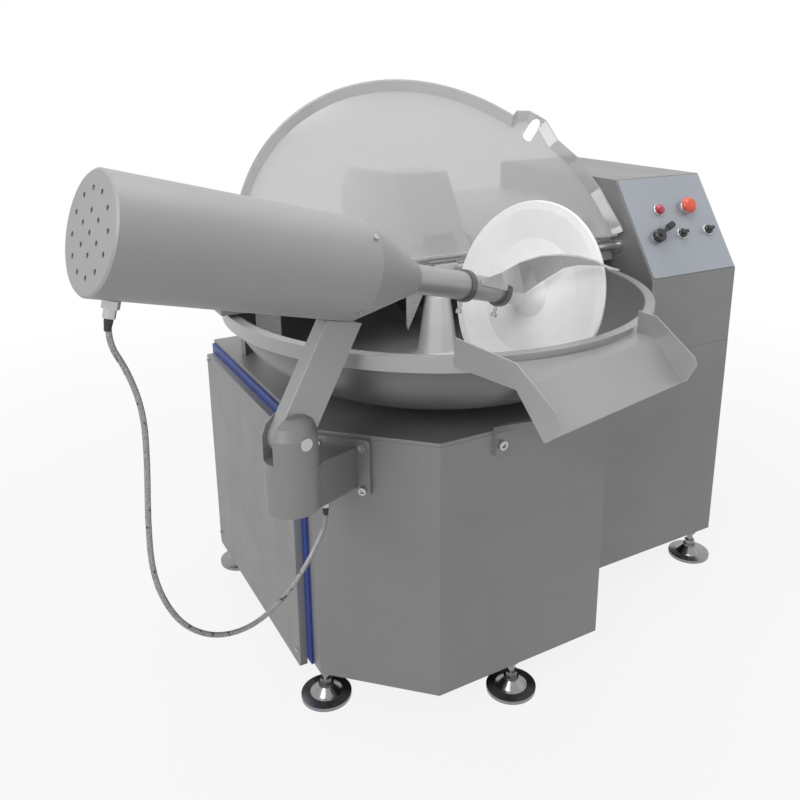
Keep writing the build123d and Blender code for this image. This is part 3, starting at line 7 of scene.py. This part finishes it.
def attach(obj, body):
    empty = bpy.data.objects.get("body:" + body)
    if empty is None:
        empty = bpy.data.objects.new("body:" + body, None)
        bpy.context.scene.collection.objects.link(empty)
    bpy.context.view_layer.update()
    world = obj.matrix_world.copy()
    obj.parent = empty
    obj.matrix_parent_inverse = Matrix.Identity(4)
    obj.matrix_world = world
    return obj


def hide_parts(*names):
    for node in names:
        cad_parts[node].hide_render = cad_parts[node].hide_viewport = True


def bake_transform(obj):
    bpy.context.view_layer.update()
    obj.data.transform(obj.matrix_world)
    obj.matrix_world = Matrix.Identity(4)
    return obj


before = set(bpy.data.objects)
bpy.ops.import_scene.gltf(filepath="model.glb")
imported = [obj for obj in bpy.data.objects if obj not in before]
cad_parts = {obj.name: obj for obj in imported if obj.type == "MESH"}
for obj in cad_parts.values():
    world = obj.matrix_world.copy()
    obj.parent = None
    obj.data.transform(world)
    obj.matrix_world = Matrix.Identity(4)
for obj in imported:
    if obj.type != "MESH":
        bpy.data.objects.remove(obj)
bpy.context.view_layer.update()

MM = 0.001
MERGE = 0.01 * MM         # corners nearer than this are one
FLAT_FOLD = 0.5           # degrees, a fold flatter than this is no edge
SHARP_FOLD = 35.0         # degrees, from where shading shows an edge
EASED_FOLD = 40.0         # degrees, from where a sheet's edge is eased
EASED_STEPS = 2
BOOT_SIDES = 24
CABLE_STEPS = 12          # along each span of the route
CABLE_SIDES = 4           # faces in a quarter of the cable's round

# ---- Viewpoint and light ------------------------------------------------------------------------
EYE = (-0.9332, -1.5060, 1.3175)
EYE_PITCH = 16.02         # degrees below the horizon
EYE_YAW = 30.135          # degrees from the back towards the cabinet
LENS = 37.58
SENSOR = 36.0
LENS_SHIFT = (-0.0375, -0.1126)
FLOOR_SIZE = 40.0
FLOOR_TONE = 0.62
FLOOR_GLOW = 0.86         # share of the floor under the machine that shows as background white
FLOOR_FADE = (1.3, 3.2)   # distances between which the floor turns wholly white
WORLD_TONE = 0.46         # plain level of the surrounding light
# name, place, aimed at, size, power
LAMPS = [
    ("key", (-3.3, -1.9, 3.2), (0.0, 0.0, 0.7), 2.4, 84.0),
    ("top", (0.2, 0.2, 3.6), (0.0, 0.0, 0.7), 2.6, 48.0),
    ("fill", (3.2, -2.4, 1.6), (0.1, 0.0, 0.7), 2.4, 4.0),
]

# ---- Cable ------------------------------------------------------------------------------------
CABLE_DIAMETER = 9.0 * MM
CABLE_ROUTE = [
    (-0.76447, -0.34503, 0.99329), (-0.77100, -0.34640, 0.96300), (-0.74500, -0.33450, 0.90800),
    (-0.72900, -0.32850, 0.84000), (-0.73100, -0.32850, 0.76200), (-0.73900, -0.33100, 0.67000),
    (-0.74100, -0.33200, 0.58400), (-0.72400, -0.32550, 0.51300), (-0.69269, -0.31350, 0.45200),
    (-0.64069, -0.29350, 0.40300), (-0.57569, -0.27050, 0.38300), (-0.51069, -0.24550, 0.39700),
    (-0.45469, -0.22450, 0.43700), (-0.41669, -0.20950, 0.48200), (-0.40269, -0.20450, 0.50700),
    (-0.40269, -0.20450, 0.53900),
]
BOOT_PROFILE = [(6.6 * MM, 0.0), (6.4 * MM, 5 * MM), (5.4 * MM, 12 * MM), (4.9 * MM, 18 * MM)]


# ---- Materials --------------------------------------------------------------------------------
class Finish:
    """A node material with its Principled shader and a position on the piece."""

    def __init__(self, name, colour, roughness, metallic=0.0):
        self.material = bpy.data.materials.new(name)
        self.material.use_nodes = True
        self.nodes = self.material.node_tree.nodes
        self.links = self.material.node_tree.links
        self.shader = self.nodes["Principled BSDF"]
        self.shader.inputs["Base Color"].default_value = (*colour, 1)
        self.shader.inputs["Roughness"].default_value = roughness
        self.shader.inputs["Metallic"].default_value = metallic
        self.colour = colour
        self.position = self.add("ShaderNodeTexCoord").outputs["Object"]
        self.height = None

    def add(self, kind, **settings):
        made = self.nodes.new(kind)
        for key, value in settings.items():
            setattr(made, key, value)
        return made

    def stretched(self, scale):
        """Position scaled by a different amount along each axis."""
        mapping = self.add("ShaderNodeMapping")
        mapping.inputs["Scale"].default_value = scale
        self.links.new(self.position, mapping.inputs["Vector"])
        return mapping.outputs["Vector"]

    def noise(self, place, scale=1.0, detail=3.0, rough=0.55, distortion=0.0):
        texture = self.add("ShaderNodeTexNoise")
        self.links.new(place, texture.inputs["Vector"])
        texture.inputs["Scale"].default_value = scale
        texture.inputs["Detail"].default_value = detail
        texture.inputs["Roughness"].default_value = rough
        texture.inputs["Distortion"].default_value = distortion
        return texture.outputs["Fac"]

    def span(self, value, low, high, start=0.3, end=0.7):
        """The value between start and end brought to the range low to high."""
        ranged = self.add("ShaderNodeMapRange")
        limits = {"From Min": start, "From Max": end, "To Min": low, "To Max": high}
        for key, number in limits.items():
            ranged.inputs[key].default_value = number
        self.links.new(value, ranged.inputs["Value"])
        return ranged.outputs["Result"]

    def maths(self, first, second, operation="ADD"):
        """Sum, or another operation, of two outputs or numbers."""
        step = self.add("ShaderNodeMath", operation=operation)
        for socket, value in zip(step.inputs, (first, second)):
            if isinstance(value, float):
                socket.default_value = value
            else:
                self.links.new(value, socket)
        return step.outputs["Value"]

    def blend(self, value, dark, light):
        """Colour that runs between two tones."""
        mixed = self.add("ShaderNodeMix", data_type="RGBA")
        mixed.inputs["A"].default_value = (*dark, 1)
        mixed.inputs["B"].default_value = (*light, 1)
        self.links.new(value, mixed.inputs["Factor"])
        return mixed.outputs["Result"]

    def tint(self, value, dark, light):
        """Base colour that runs between two tones."""
        self.links.new(self.blend(value, dark, light), self.shader.inputs["Base Color"])

    def rough(self, value):
        self.links.new(value, self.shader.inputs["Roughness"])

    def bump(self, value, depth, strength=1.0):
        """Relief of the given depth in metres, on top of any that is there."""
        relief = self.add("ShaderNodeBump")
        relief.inputs["Distance"].default_value = depth
        relief.inputs["Strength"].default_value = strength
        self.links.new(value, relief.inputs["Height"])
        if self.height:
            self.links.new(self.height, relief.inputs["Normal"])
        self.height = relief.outputs["Normal"]
        self.links.new(self.height, self.shader.inputs["Normal"])

    def clouds(self, spread, scale=2.6):
        """Base colour that wanders by a share to each side of the finish's own colour."""
        wander = self.span(self.noise(self.position, scale, 4.0, 0.6), 0.0, 1.0)
        dark = [part * (1 - spread) for part in self.colour]
        light = [part * (1 + spread) for part in self.colour]
        self.tint(wander, dark, light)


def brushed_steel(name, tone, roughness=0.42, metallic=0.6, grain=(3, 3, 420), spread=0.06,
                  depth=0.05 * MM):
    """Sheet stainless steel with straight grinding lines, faint clouds and wiped smears."""
    steel = Finish(name, tone, roughness, metallic)
    steel.clouds(spread)
    lines = steel.noise(steel.stretched(grain), 1.0, 4.0, 0.7)
    smears = steel.noise(steel.position, 9.0, 3.0, 0.6, 0.8)
    lined = steel.span(lines, roughness - 0.07, roughness + 0.07)
    steel.rough(steel.maths(lined, steel.span(smears, -0.03, 0.05)))
    steel.bump(lines, depth, 0.5)
    return steel.material


def turned_steel(name, tone, centre, axis, roughness=0.3, metallic=0.75, pitch=520.0, spread=0.05):
    """Steel finished in a lathe: fine rings about an axis."""
    steel = Finish(name, tone, roughness, metallic)
    steel.clouds(spread, 3.4)
    rings = turned_rings(steel, centre, axis, pitch)[0]
    steel.rough(steel.span(rings, roughness - 0.05, roughness + 0.07))
    steel.bump(rings, 0.04 * MM, 0.4)
    return steel.material


def turned_rings(steel, centre, axis, pitch):
    """Ring pattern about an axis, with the distance from the axis and the station along it."""
    away = steel.add("ShaderNodeVectorMath", operation="SUBTRACT")
    steel.links.new(steel.position, away.inputs[0])
    away.inputs[1].default_value = centre
    arm = steel.add("ShaderNodeVectorMath", operation="CROSS_PRODUCT")
    steel.links.new(away.outputs["Vector"], arm.inputs[0])
    arm.inputs[1].default_value = axis
    radius = steel.add("ShaderNodeVectorMath", operation="LENGTH")
    steel.links.new(arm.outputs["Vector"], radius.inputs[0])
    along = steel.add("ShaderNodeVectorMath", operation="DOT_PRODUCT")
    steel.links.new(away.outputs["Vector"], along.inputs[0])
    along.inputs[1].default_value = axis
    place = steel.add("ShaderNodeCombineXYZ")
    steel.links.new(radius.outputs["Value"], place.inputs["X"])
    steel.links.new(along.outputs["Value"], place.inputs["Y"])
    rings = steel.noise(place.outputs["Vector"], pitch, 2.0, 0.6)
    return rings, radius.outputs["Value"], along.outputs["Value"]


def bowl_painted_steel(name, cone, trough, band, belly):
    """Spun bowl with painted light: a bright cone as painted highlight, a finely ringed trough
    darkened as painted shade, and a pale rim band as painted sheen over a dull belly darkened as
    painted shade.
    """
    steel = Finish(name, trough, 0.36, 0.4)
    rings, radius, height = turned_rings(steel, BOWL_AXIS, (0, 0, 1), 220.0)
    across = steel.maths(radius, TROUGH_RADIUS, "SUBTRACT")
    up = steel.maths(height, TROUGH_HEIGHT, "SUBTRACT")
    reach = steel.maths(steel.maths(across, across, "MULTIPLY"), steel.maths(up, up, "MULTIPLY"))
    beyond = steel.maths(reach, TROUGH_MIDWALL ** 2, "GREATER_THAN")
    outer = steel.maths(beyond, steel.maths(across, 0.0, "GREATER_THAN"), "MULTIPLY")
    # The cone is painted bright as a painted highlight, fading outwards to the trough's painted
    # shade.
    highlight_to_shade = steel.span(radius, 0.0, 1.0, *CONE_HIGHLIGHT_FADE)
    # The rim band is painted pale as a painted sheen, and the belly below it painted dark as
    # painted shade.
    sheen_band_mask = steel.maths(height, BAND_BOTTOM, "GREATER_THAN")
    inside_painted_light = steel.blend(highlight_to_shade, cone, trough)
    outside_painted_light = steel.blend(sheen_band_mask, belly, band)
    whole = steel.add("ShaderNodeMix", data_type="RGBA")
    steel.links.new(outer, whole.inputs["Factor"])
    steel.links.new(inside_painted_light, whole.inputs["A"])
    steel.links.new(outside_painted_light, whole.inputs["B"])
    steel.links.new(whole.outputs["Result"], steel.shader.inputs["Base Color"])
    steel.rough(steel.span(rings, 0.33, 0.40))
    steel.bump(rings, 0.004 * MM, 0.2)
    return steel.material


def cast_metal(name, tone, roughness=0.6, metallic=0.4, grit=900.0):
    """Sand cast metal, blasted or painted: a fine pebbled skin."""
    metal = Finish(name, tone, roughness, metallic)
    metal.clouds(0.10, 6.0)
    grains = metal.noise(metal.position, grit, 3.0, 0.6)
    metal.rough(metal.span(grains, roughness - 0.06, roughness + 0.08))
    metal.bump(grains, 0.18 * MM, 0.6)
    return metal.material


def moulded_plastic(name, tone, roughness=0.3, coat=0.0, spread=0.04):
    """Moulded plastic: nearly even, with a slight orange skin and handling haze."""
    plastic = Finish(name, tone, roughness)
    plastic.clouds(spread, 14.0)
    skin = plastic.noise(plastic.position, 260.0, 2.0)
    haze = plastic.noise(plastic.position, 22.0, 3.0, 0.6)
    plastic.rough(plastic.span(haze, roughness - 0.05, roughness + 0.08))
    plastic.bump(skin, 0.03 * MM, 0.5)
    plastic.shader.inputs["Coat Weight"].default_value = coat
    plastic.shader.inputs["Coat Roughness"].default_value = 0.08
    return plastic.material


def clear_sheet(name, tone):
    """Smoke-tinted acrylic sheet, a little hazed by wiping."""
    sheet = Finish(name, tone, 0.06)
    sheet.shader.inputs["Transmission Weight"].default_value = 0.56
    sheet.shader.inputs["IOR"].default_value = 1.49
    wipes = sheet.noise(sheet.stretched((4, 4, 26)), 1.0, 3.0, 0.6, 0.4)
    sheet.rough(sheet.span(wipes, 0.03, 0.11))
    return sheet.material


def rubber(name, tone, roughness=0.6):
    """Rubber with a bloom and a fine grain."""
    black = Finish(name, tone, roughness)
    black.clouds(0.18, 30.0)
    grain = black.noise(black.position, 700.0, 2.0)
    black.rough(black.span(grain, roughness - 0.08, roughness + 0.1))
    black.bump(grain, 0.08 * MM, 0.5)
    return black.material


def braided_jacket(name):
    """Woven screening over a cable: crossing strands, with dark gaps and broken flecks."""
    braid = Finish(name, (0.30, 0.30, 0.30), 0.42, 0.5)
    cells = braid.add("ShaderNodeTexVoronoi", feature="F1")
    braid.links.new(braid.stretched((1, 1, 0.7)), cells.inputs["Vector"])
    cells.inputs["Scale"].default_value = 620.0
    strands = braid.span(cells.outputs["Distance"], 1.0, 0.45, 0.2, 0.75)
    flecks = braid.span(braid.noise(braid.position, 95.0, 2.0), 0.1, 1.0, 0.33, 0.38)
    braid.tint(braid.maths(strands, flecks, "MULTIPLY"), (0.04, 0.04, 0.045), (0.45, 0.45, 0.45))
    braid.bump(strands, 0.35 * MM, 0.8)
    return braid.material


BOWL_AXIS = (-0.00269, 0.0625, 0.0)
TROUGH_RADIUS = 0.267     # from the bowl's axis to the middle of the trough
TROUGH_HEIGHT = 0.876     # of the trough's arc centre
TROUGH_MIDWALL = 0.1935   # arc radius in the middle of the wall
BAND_BOTTOM = 0.8160      # lower edge of the rim band
CONE_HIGHLIGHT_FADE = (0.13, 0.36)  # radii between which the cone's painted highlight turns to the trough's painted shade
BOWL_PAINTED_TONES = (0.86, 0.34, 0.40, 0.17)             # cone, trough, rim band, belly: painted highlight, painted shade, painted sheen, painted shade
CAP_SIDE = Vector((-0.7771, -0.3475, 1.1128))     # middle of the discharger motor's end cap
REACH = Vector((0.94577, 0.18795, -0.26494))      # the discharger's own axis

housing = brushed_steel("housing steel", (0.245, 0.245, 0.247), 0.46, 0.35)
door_face = brushed_steel("door steel", (0.25, 0.25, 0.253), 0.46, 0.35, (3, 300, 3))
panel_face = brushed_steel("panel steel", (0.355, 0.38, 0.42), 0.38, 0.4, (4, 420, 420), 0.07)
# The hood's pale tone is painted light, standing in for the light that the glass lid keeps off it.
hood_painted_light_face = brushed_steel("hood steel", (0.88, 0.88, 0.885), 0.42, 0.15, (3, 380, 3), 0.04)
# The casing's pale tone is painted light, standing in for the light that the glass lid keeps off
# it.
casing_painted_light_face = brushed_steel("casing steel", (0.60, 0.60, 0.605), 0.42, 0.35, (3, 380, 3))
arm_face = brushed_steel("arm steel", (0.36, 0.36, 0.362), 0.42, 0.45, (3, 3, 300))
# The bowl's tones are painted light and shade, not the steel's own colour.
bowl_painted_face = bowl_painted_steel("bowl steel", *[(tone, tone, tone * 1.01) for tone in BOWL_PAINTED_TONES])
barrel_face = turned_steel("barrel steel", (0.345, 0.345, 0.348), CAP_SIDE, REACH, 0.5, 0.1, 380.0)
tube_face = turned_steel("tube steel", (0.40, 0.40, 0.405), CAP_SIDE, REACH, 0.38, 0.5, 300.0)
polished = brushed_steel("polished steel", (0.50, 0.50, 0.51), 0.26, 0.8, (6, 260, 260), 0.05,
                         0.02 * MM)
blade_face = brushed_steel("blade steel", (0.52, 0.52, 0.525), 0.36, 0.45, (3, 300, 300), 0.05,
                           0.02 * MM)
chute_face = brushed_steel("chute steel", (0.37, 0.37, 0.375), 0.40, 0.45, (3, 300, 3), 0.05,
                           0.02 * MM)
foot_face = turned_steel("foot steel", (0.28, 0.28, 0.29), (0, 0, 0), (0, 0, 1), 0.2, 0.95, 300.0)
machined = turned_steel("machined steel", (0.50, 0.50, 0.52), (0, 0.3295, 0.872), (1, 0, 0),
                        0.3, 0.9)
collar_face = turned_steel("collar steel", (0.16, 0.16, 0.165), CAP_SIDE, REACH, 0.4, 0.6, 300.0)
iron = cast_metal("cast iron", (0.13, 0.14, 0.15))
aluminium = cast_metal("cast aluminium", (0.42, 0.43, 0.44), 0.5, 0.7, 600.0)
white_disc = moulded_plastic("white plastic", (0.88, 0.88, 0.885), 0.32)
black_knob = moulded_plastic("black plastic", (0.018, 0.018, 0.019), 0.3, 0.2)
red_button = moulded_plastic("red plastic", (0.72, 0.085, 0.035), 0.28, 0.4)
red_lens = moulded_plastic("red lens", (0.42, 0.012, 0.04), 0.12, 0.8)
smoke_sheet = clear_sheet("clear sheet", (0.66, 0.66, 0.665))
seal_band = rubber("seal rubber", (0.022, 0.05, 0.24), 0.45)
belt_rubber = rubber("belt rubber", (0.02, 0.02, 0.021))
boot_rubber = rubber("boot rubber", (0.025, 0.025, 0.026), 0.5)
cable_jacket = braided_jacket("cable braid")

FINISHES = {
    housing: ["lower_body", "cabinet_shell", "deck_plate", "bowl_cover", "cover_posts",
              "base_frame", "chute_strap", "swivel_bracket", "pivot_head"],
    arm_face: ["swing_arm"],
    door_face: ["side_door"],
    panel_face: ["control_panel"],
    hood_painted_light_face: ["knife_hood"],
    casing_painted_light_face: ["spindle_casing"],
    bowl_painted_face: ["bowl"],
    barrel_face: ["motor_housing", "end_cap", "front_cone"],
    polished: ["bowl_scrapers", "body_fittings", "pivot_pin", "lid_shaft", "lid_clamps",
               "clamp_screws", "housing_fittings", "switch_bodies"],
    tube_face: ["sleeve", "carrier_tube"],
    blade_face: ["deflector"],
    chute_face: ["chute"],
    collar_face: ["clamp_collars"],
    foot_face: ["foot_pads", "foot_screws"],
    machined: ["bowl_shaft", "knife_shaft", "knives", "knife_spacers", "drive_shaft",
               "shaft_bearings", "worm", "worm_wheel", "shaft_bushes"],
    iron: ["spindle_arm", "spindle_pedestal", "spindle_sheave", "motor_sheave",
           "bowl_bearing_housing", "knife_motor"],
    aluminium: ["bowl_gearmotor", "discharge_gearmotor"],
    white_disc: ["discharge_disc"],
    black_knob: ["rotary_lever", "left_selector", "right_selector"],
    red_button: ["emergency_stop"],
    red_lens: ["indicator_lamp"],
    smoke_sheet: ["lid"],
    seal_band: ["door_seal"],
    belt_rubber: ["drive_belts"],
    cable_jacket: ["cable"],
}


def dress(node, material):
    """Give a CAD piece its finish."""
    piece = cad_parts[node]
    if not piece.material_slots:
        piece.data.materials.append(material)
    for place in piece.material_slots:
        place.material = material


for material, nodes in FINISHES.items():
    for node in nodes:
        dress(node, material)


EASED = {                 # sheet metal piece: the body it belongs to, and the radius of its edges
    "lower_body": ("base", 1.5 * MM),
    "cabinet_shell": ("base", 2.0 * MM),
    "side_door": ("base", 1.2 * MM),
    "knife_hood": ("knife_hood", 1.5 * MM),
    "chute": ("base", 1.0 * MM),
    "swing_arm": ("discharger", 1.5 * MM),
    "swivel_bracket": ("base", 1.0 * MM),
    "deck_plate": ("base", 1.0 * MM),
}


# ---- New pieces ---------------------------------------------------------------------------------
def placed(name, mesh, material, body):
    """Object for a finished mesh, with its finish and body."""
    piece = bpy.data.objects.new(name, mesh)
    bpy.context.scene.collection.objects.link(piece)
    piece.data.materials.clear()
    piece.data.materials.append(material)
    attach(piece, body)
    return piece


def smooth(mesh):
    """Smooth shading that keeps the sharp folds."""
    mesh.shade_smooth()
    mesh.set_sharp_from_angle(angle=radians(SHARP_FOLD))


def eased_sheet(node, body, radius):
    """A sheet metal piece with its sharp folds and cut edges eased, in place of the plain one."""
    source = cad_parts[node]
    shape = bmesh.new()
    shape.from_mesh(source.data)
    bmesh.ops.remove_doubles(shape, verts=shape.verts, dist=MERGE)
    bmesh.ops.dissolve_limit(shape, angle_limit=radians(FLAT_FOLD), verts=shape.verts,
                             edges=shape.edges)
    bmesh.ops.recalc_face_normals(shape, faces=shape.faces)
    mesh = bpy.data.meshes.new("eased " + node)
    shape.to_mesh(mesh)
    shape.free()
    smooth(mesh)
    piece = placed("eased_" + node, mesh, source.material_slots[0].material, body)
    bevel = piece.modifiers.new("eased edges", "BEVEL")
    bevel.width = radius
    bevel.segments = EASED_STEPS
    bevel.limit_method = "ANGLE"
    bevel.angle_limit = radians(EASED_FOLD)
    bevel.harden_normals = True
    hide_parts(node)


def route_curve(name, thickness):
    """Smooth line through the cable's route."""
    curve = bpy.data.curves.new(name, "CURVE")
    curve.dimensions = "3D"
    spline = curve.splines.new("NURBS")
    spline.points.add(len(CABLE_ROUTE) - 1)
    for point, place in zip(spline.points, CABLE_ROUTE):
        point.co = (*place, 1)
    spline.order_u = 3
    spline.use_endpoint_u = True
    spline.resolution_u = CABLE_STEPS
    curve.bevel_depth = thickness / 2
    curve.bevel_resolution = CABLE_SIDES
    curve.use_fill_caps = True
    line = bpy.data.objects.new(name, curve)
    bpy.context.scene.collection.objects.link(line)
    mesh = bpy.data.meshes.new_from_object(line)
    bpy.data.objects.remove(line)
    return mesh


def hung_cable():
    """The braided cable along its route, in place of the CAD cable."""
    path = [vertex.co.copy() for vertex in route_curve("cable line", 0.0).vertices]
    mesh = route_curve("braided cable", CABLE_DIAMETER)
    mesh.shade_smooth()
    piece = bpy.data.objects.new("braided_cable", mesh)
    bpy.context.scene.collection.objects.link(piece)
    piece.data.materials.clear()
    piece.data.materials.append(cable_jacket)
    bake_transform(piece)
    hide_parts("cable")


def cable_boot(name, start, towards, body):
    """Short tapered boot where the cable leaves its gland."""
    along = (Vector(towards) - Vector(start)).normalized()
    shape = bmesh.new()
    outline = [(0.0, 0.0), *BOOT_PROFILE, (0.0, BOOT_PROFILE[-1][1])]
    points = [shape.verts.new((radius, 0, station)) for radius, station in outline]
    lines = [shape.edges.new(pair) for pair in zip(points, points[1:])]
    bmesh.ops.spin(shape, geom=points + lines, cent=(0, 0, 0), axis=(0, 0, 1), angle=2 * pi,
                   steps=BOOT_SIDES)
    bmesh.ops.remove_doubles(shape, verts=shape.verts, dist=0.001 * MM)
    bmesh.ops.recalc_face_normals(shape, faces=shape.faces)
    turn = along.to_track_quat("Z", "Y").to_matrix().to_4x4()
    bmesh.ops.transform(shape, matrix=Matrix.Translation(start) @ turn, verts=shape.verts)
    mesh = bpy.data.meshes.new(name)
    shape.to_mesh(mesh)
    shape.free()
    smooth(mesh)
    placed(name, mesh, boot_rubber, body)


hung_cable()
cable_boot("upper_cable_boot", CABLE_ROUTE[0], CABLE_ROUTE[1], "discharger")
cable_boot("lower_cable_boot", CABLE_ROUTE[-1], CABLE_ROUTE[-2], "base")
for node, (body, radius) in EASED.items():
    eased_sheet(node, body, radius)


# ---- Stage ----------------------------------------------------------------------------------
def lay_floor():
    """Pale floor that fades into the background and keeps the machine's shadow."""
    shape = bmesh.new()
    bmesh.ops.create_grid(shape, x_segments=1, y_segments=1, size=FLOOR_SIZE / 2)
    mesh = bpy.data.meshes.new("floor")
    shape.to_mesh(mesh)
    shape.free()
    floor = bpy.data.objects.new("floor", mesh)
    bpy.context.scene.collection.objects.link(floor)
    material = bpy.data.materials.new("pale floor")
    material.use_nodes = True
    nodes, links = material.node_tree.nodes, material.node_tree.links
    nodes.clear()
    matt = nodes.new("ShaderNodeBsdfDiffuse")
    matt.inputs["Color"].default_value = (FLOOR_TONE, FLOOR_TONE, FLOOR_TONE, 1)
    white = nodes.new("ShaderNodeEmission")
    blend = nodes.new("ShaderNodeMixShader")
    share = nodes.new("ShaderNodeMath")
    share.operation = "MULTIPLY"
    links.new(seen_ray(nodes, links), share.inputs[0])
    away = nodes.new("ShaderNodeVectorMath")
    away.operation = "LENGTH"
    links.new(nodes.new("ShaderNodeTexCoord").outputs["Object"], away.inputs[0])
    fade = nodes.new("ShaderNodeMapRange")
    limits = ("From Min", "From Max", "To Min", "To Max")
    for key, number in zip(limits, (*FLOOR_FADE, FLOOR_GLOW, 1.0)):
        fade.inputs[key].default_value = number
    links.new(away.outputs["Value"], fade.inputs["Value"])
    links.new(fade.outputs["Result"], share.inputs[1])
    links.new(share.outputs["Value"], blend.inputs["Fac"])
    links.new(matt.outputs["BSDF"], blend.inputs[1])
    links.new(white.outputs["Emission"], blend.inputs[2])
    output = nodes.new("ShaderNodeOutputMaterial")
    links.new(blend.outputs["Shader"], output.inputs["Surface"])
    mesh.materials.append(material)


def seen_ray(nodes, links):
    """1 for what the camera sees directly, in a reflection or through glass."""
    path = nodes.new("ShaderNodeLightPath")
    total = path.outputs["Is Camera Ray"]
    for kind in ("Is Glossy Ray", "Is Transmission Ray"):
        larger = nodes.new("ShaderNodeMath")
        larger.operation = "MAXIMUM"
        links.new(total, larger.inputs[0])
        links.new(path.outputs[kind], larger.inputs[1])
        total = larger.outputs["Value"]
    return total


def light_world():
    """Plain grey surrounding light, seen as white."""
    world = bpy.data.worlds.new("studio")
    bpy.context.scene.world = world
    world.use_nodes = True
    nodes, links = world.node_tree.nodes, world.node_tree.links
    background = nodes["Background"]
    blend = nodes.new("ShaderNodeMix")
    blend.inputs["A"].default_value = WORLD_TONE
    blend.inputs["B"].default_value = 1.0
    links.new(seen_ray(nodes, links), blend.inputs["Factor"])
    links.new(blend.outputs["Result"], background.inputs["Strength"])
    background.inputs["Color"].default_value = (1, 1, 1, 1)


def hang_lamps():
    for name, place, aim, size, power in LAMPS:
        lamp = bpy.data.lights.new(name, "AREA")
        lamp.shape = "DISK"
        lamp.size = size
        lamp.energy = power
        holder = bpy.data.objects.new(name, lamp)
        bpy.context.scene.collection.objects.link(holder)
        holder.location = place
        holder.rotation_euler = (Vector(aim) - Vector(place)).to_track_quat("-Z", "Y").to_euler()


def set_camera():
    lens = bpy.data.cameras.new("camera")
    lens.lens = LENS
    lens.sensor_width = SENSOR
    lens.shift_x, lens.shift_y = LENS_SHIFT
    camera = bpy.data.objects.new("camera", lens)
    bpy.context.scene.collection.objects.link(camera)
    camera.location = EYE
    camera.rotation_euler = (radians(90 - EYE_PITCH), 0, radians(-EYE_YAW))
    bpy.context.scene.camera = camera


lay_floor()
light_world()
hang_lamps()
set_camera()
bpy.context.scene.view_settings.view_transform = "Standard"
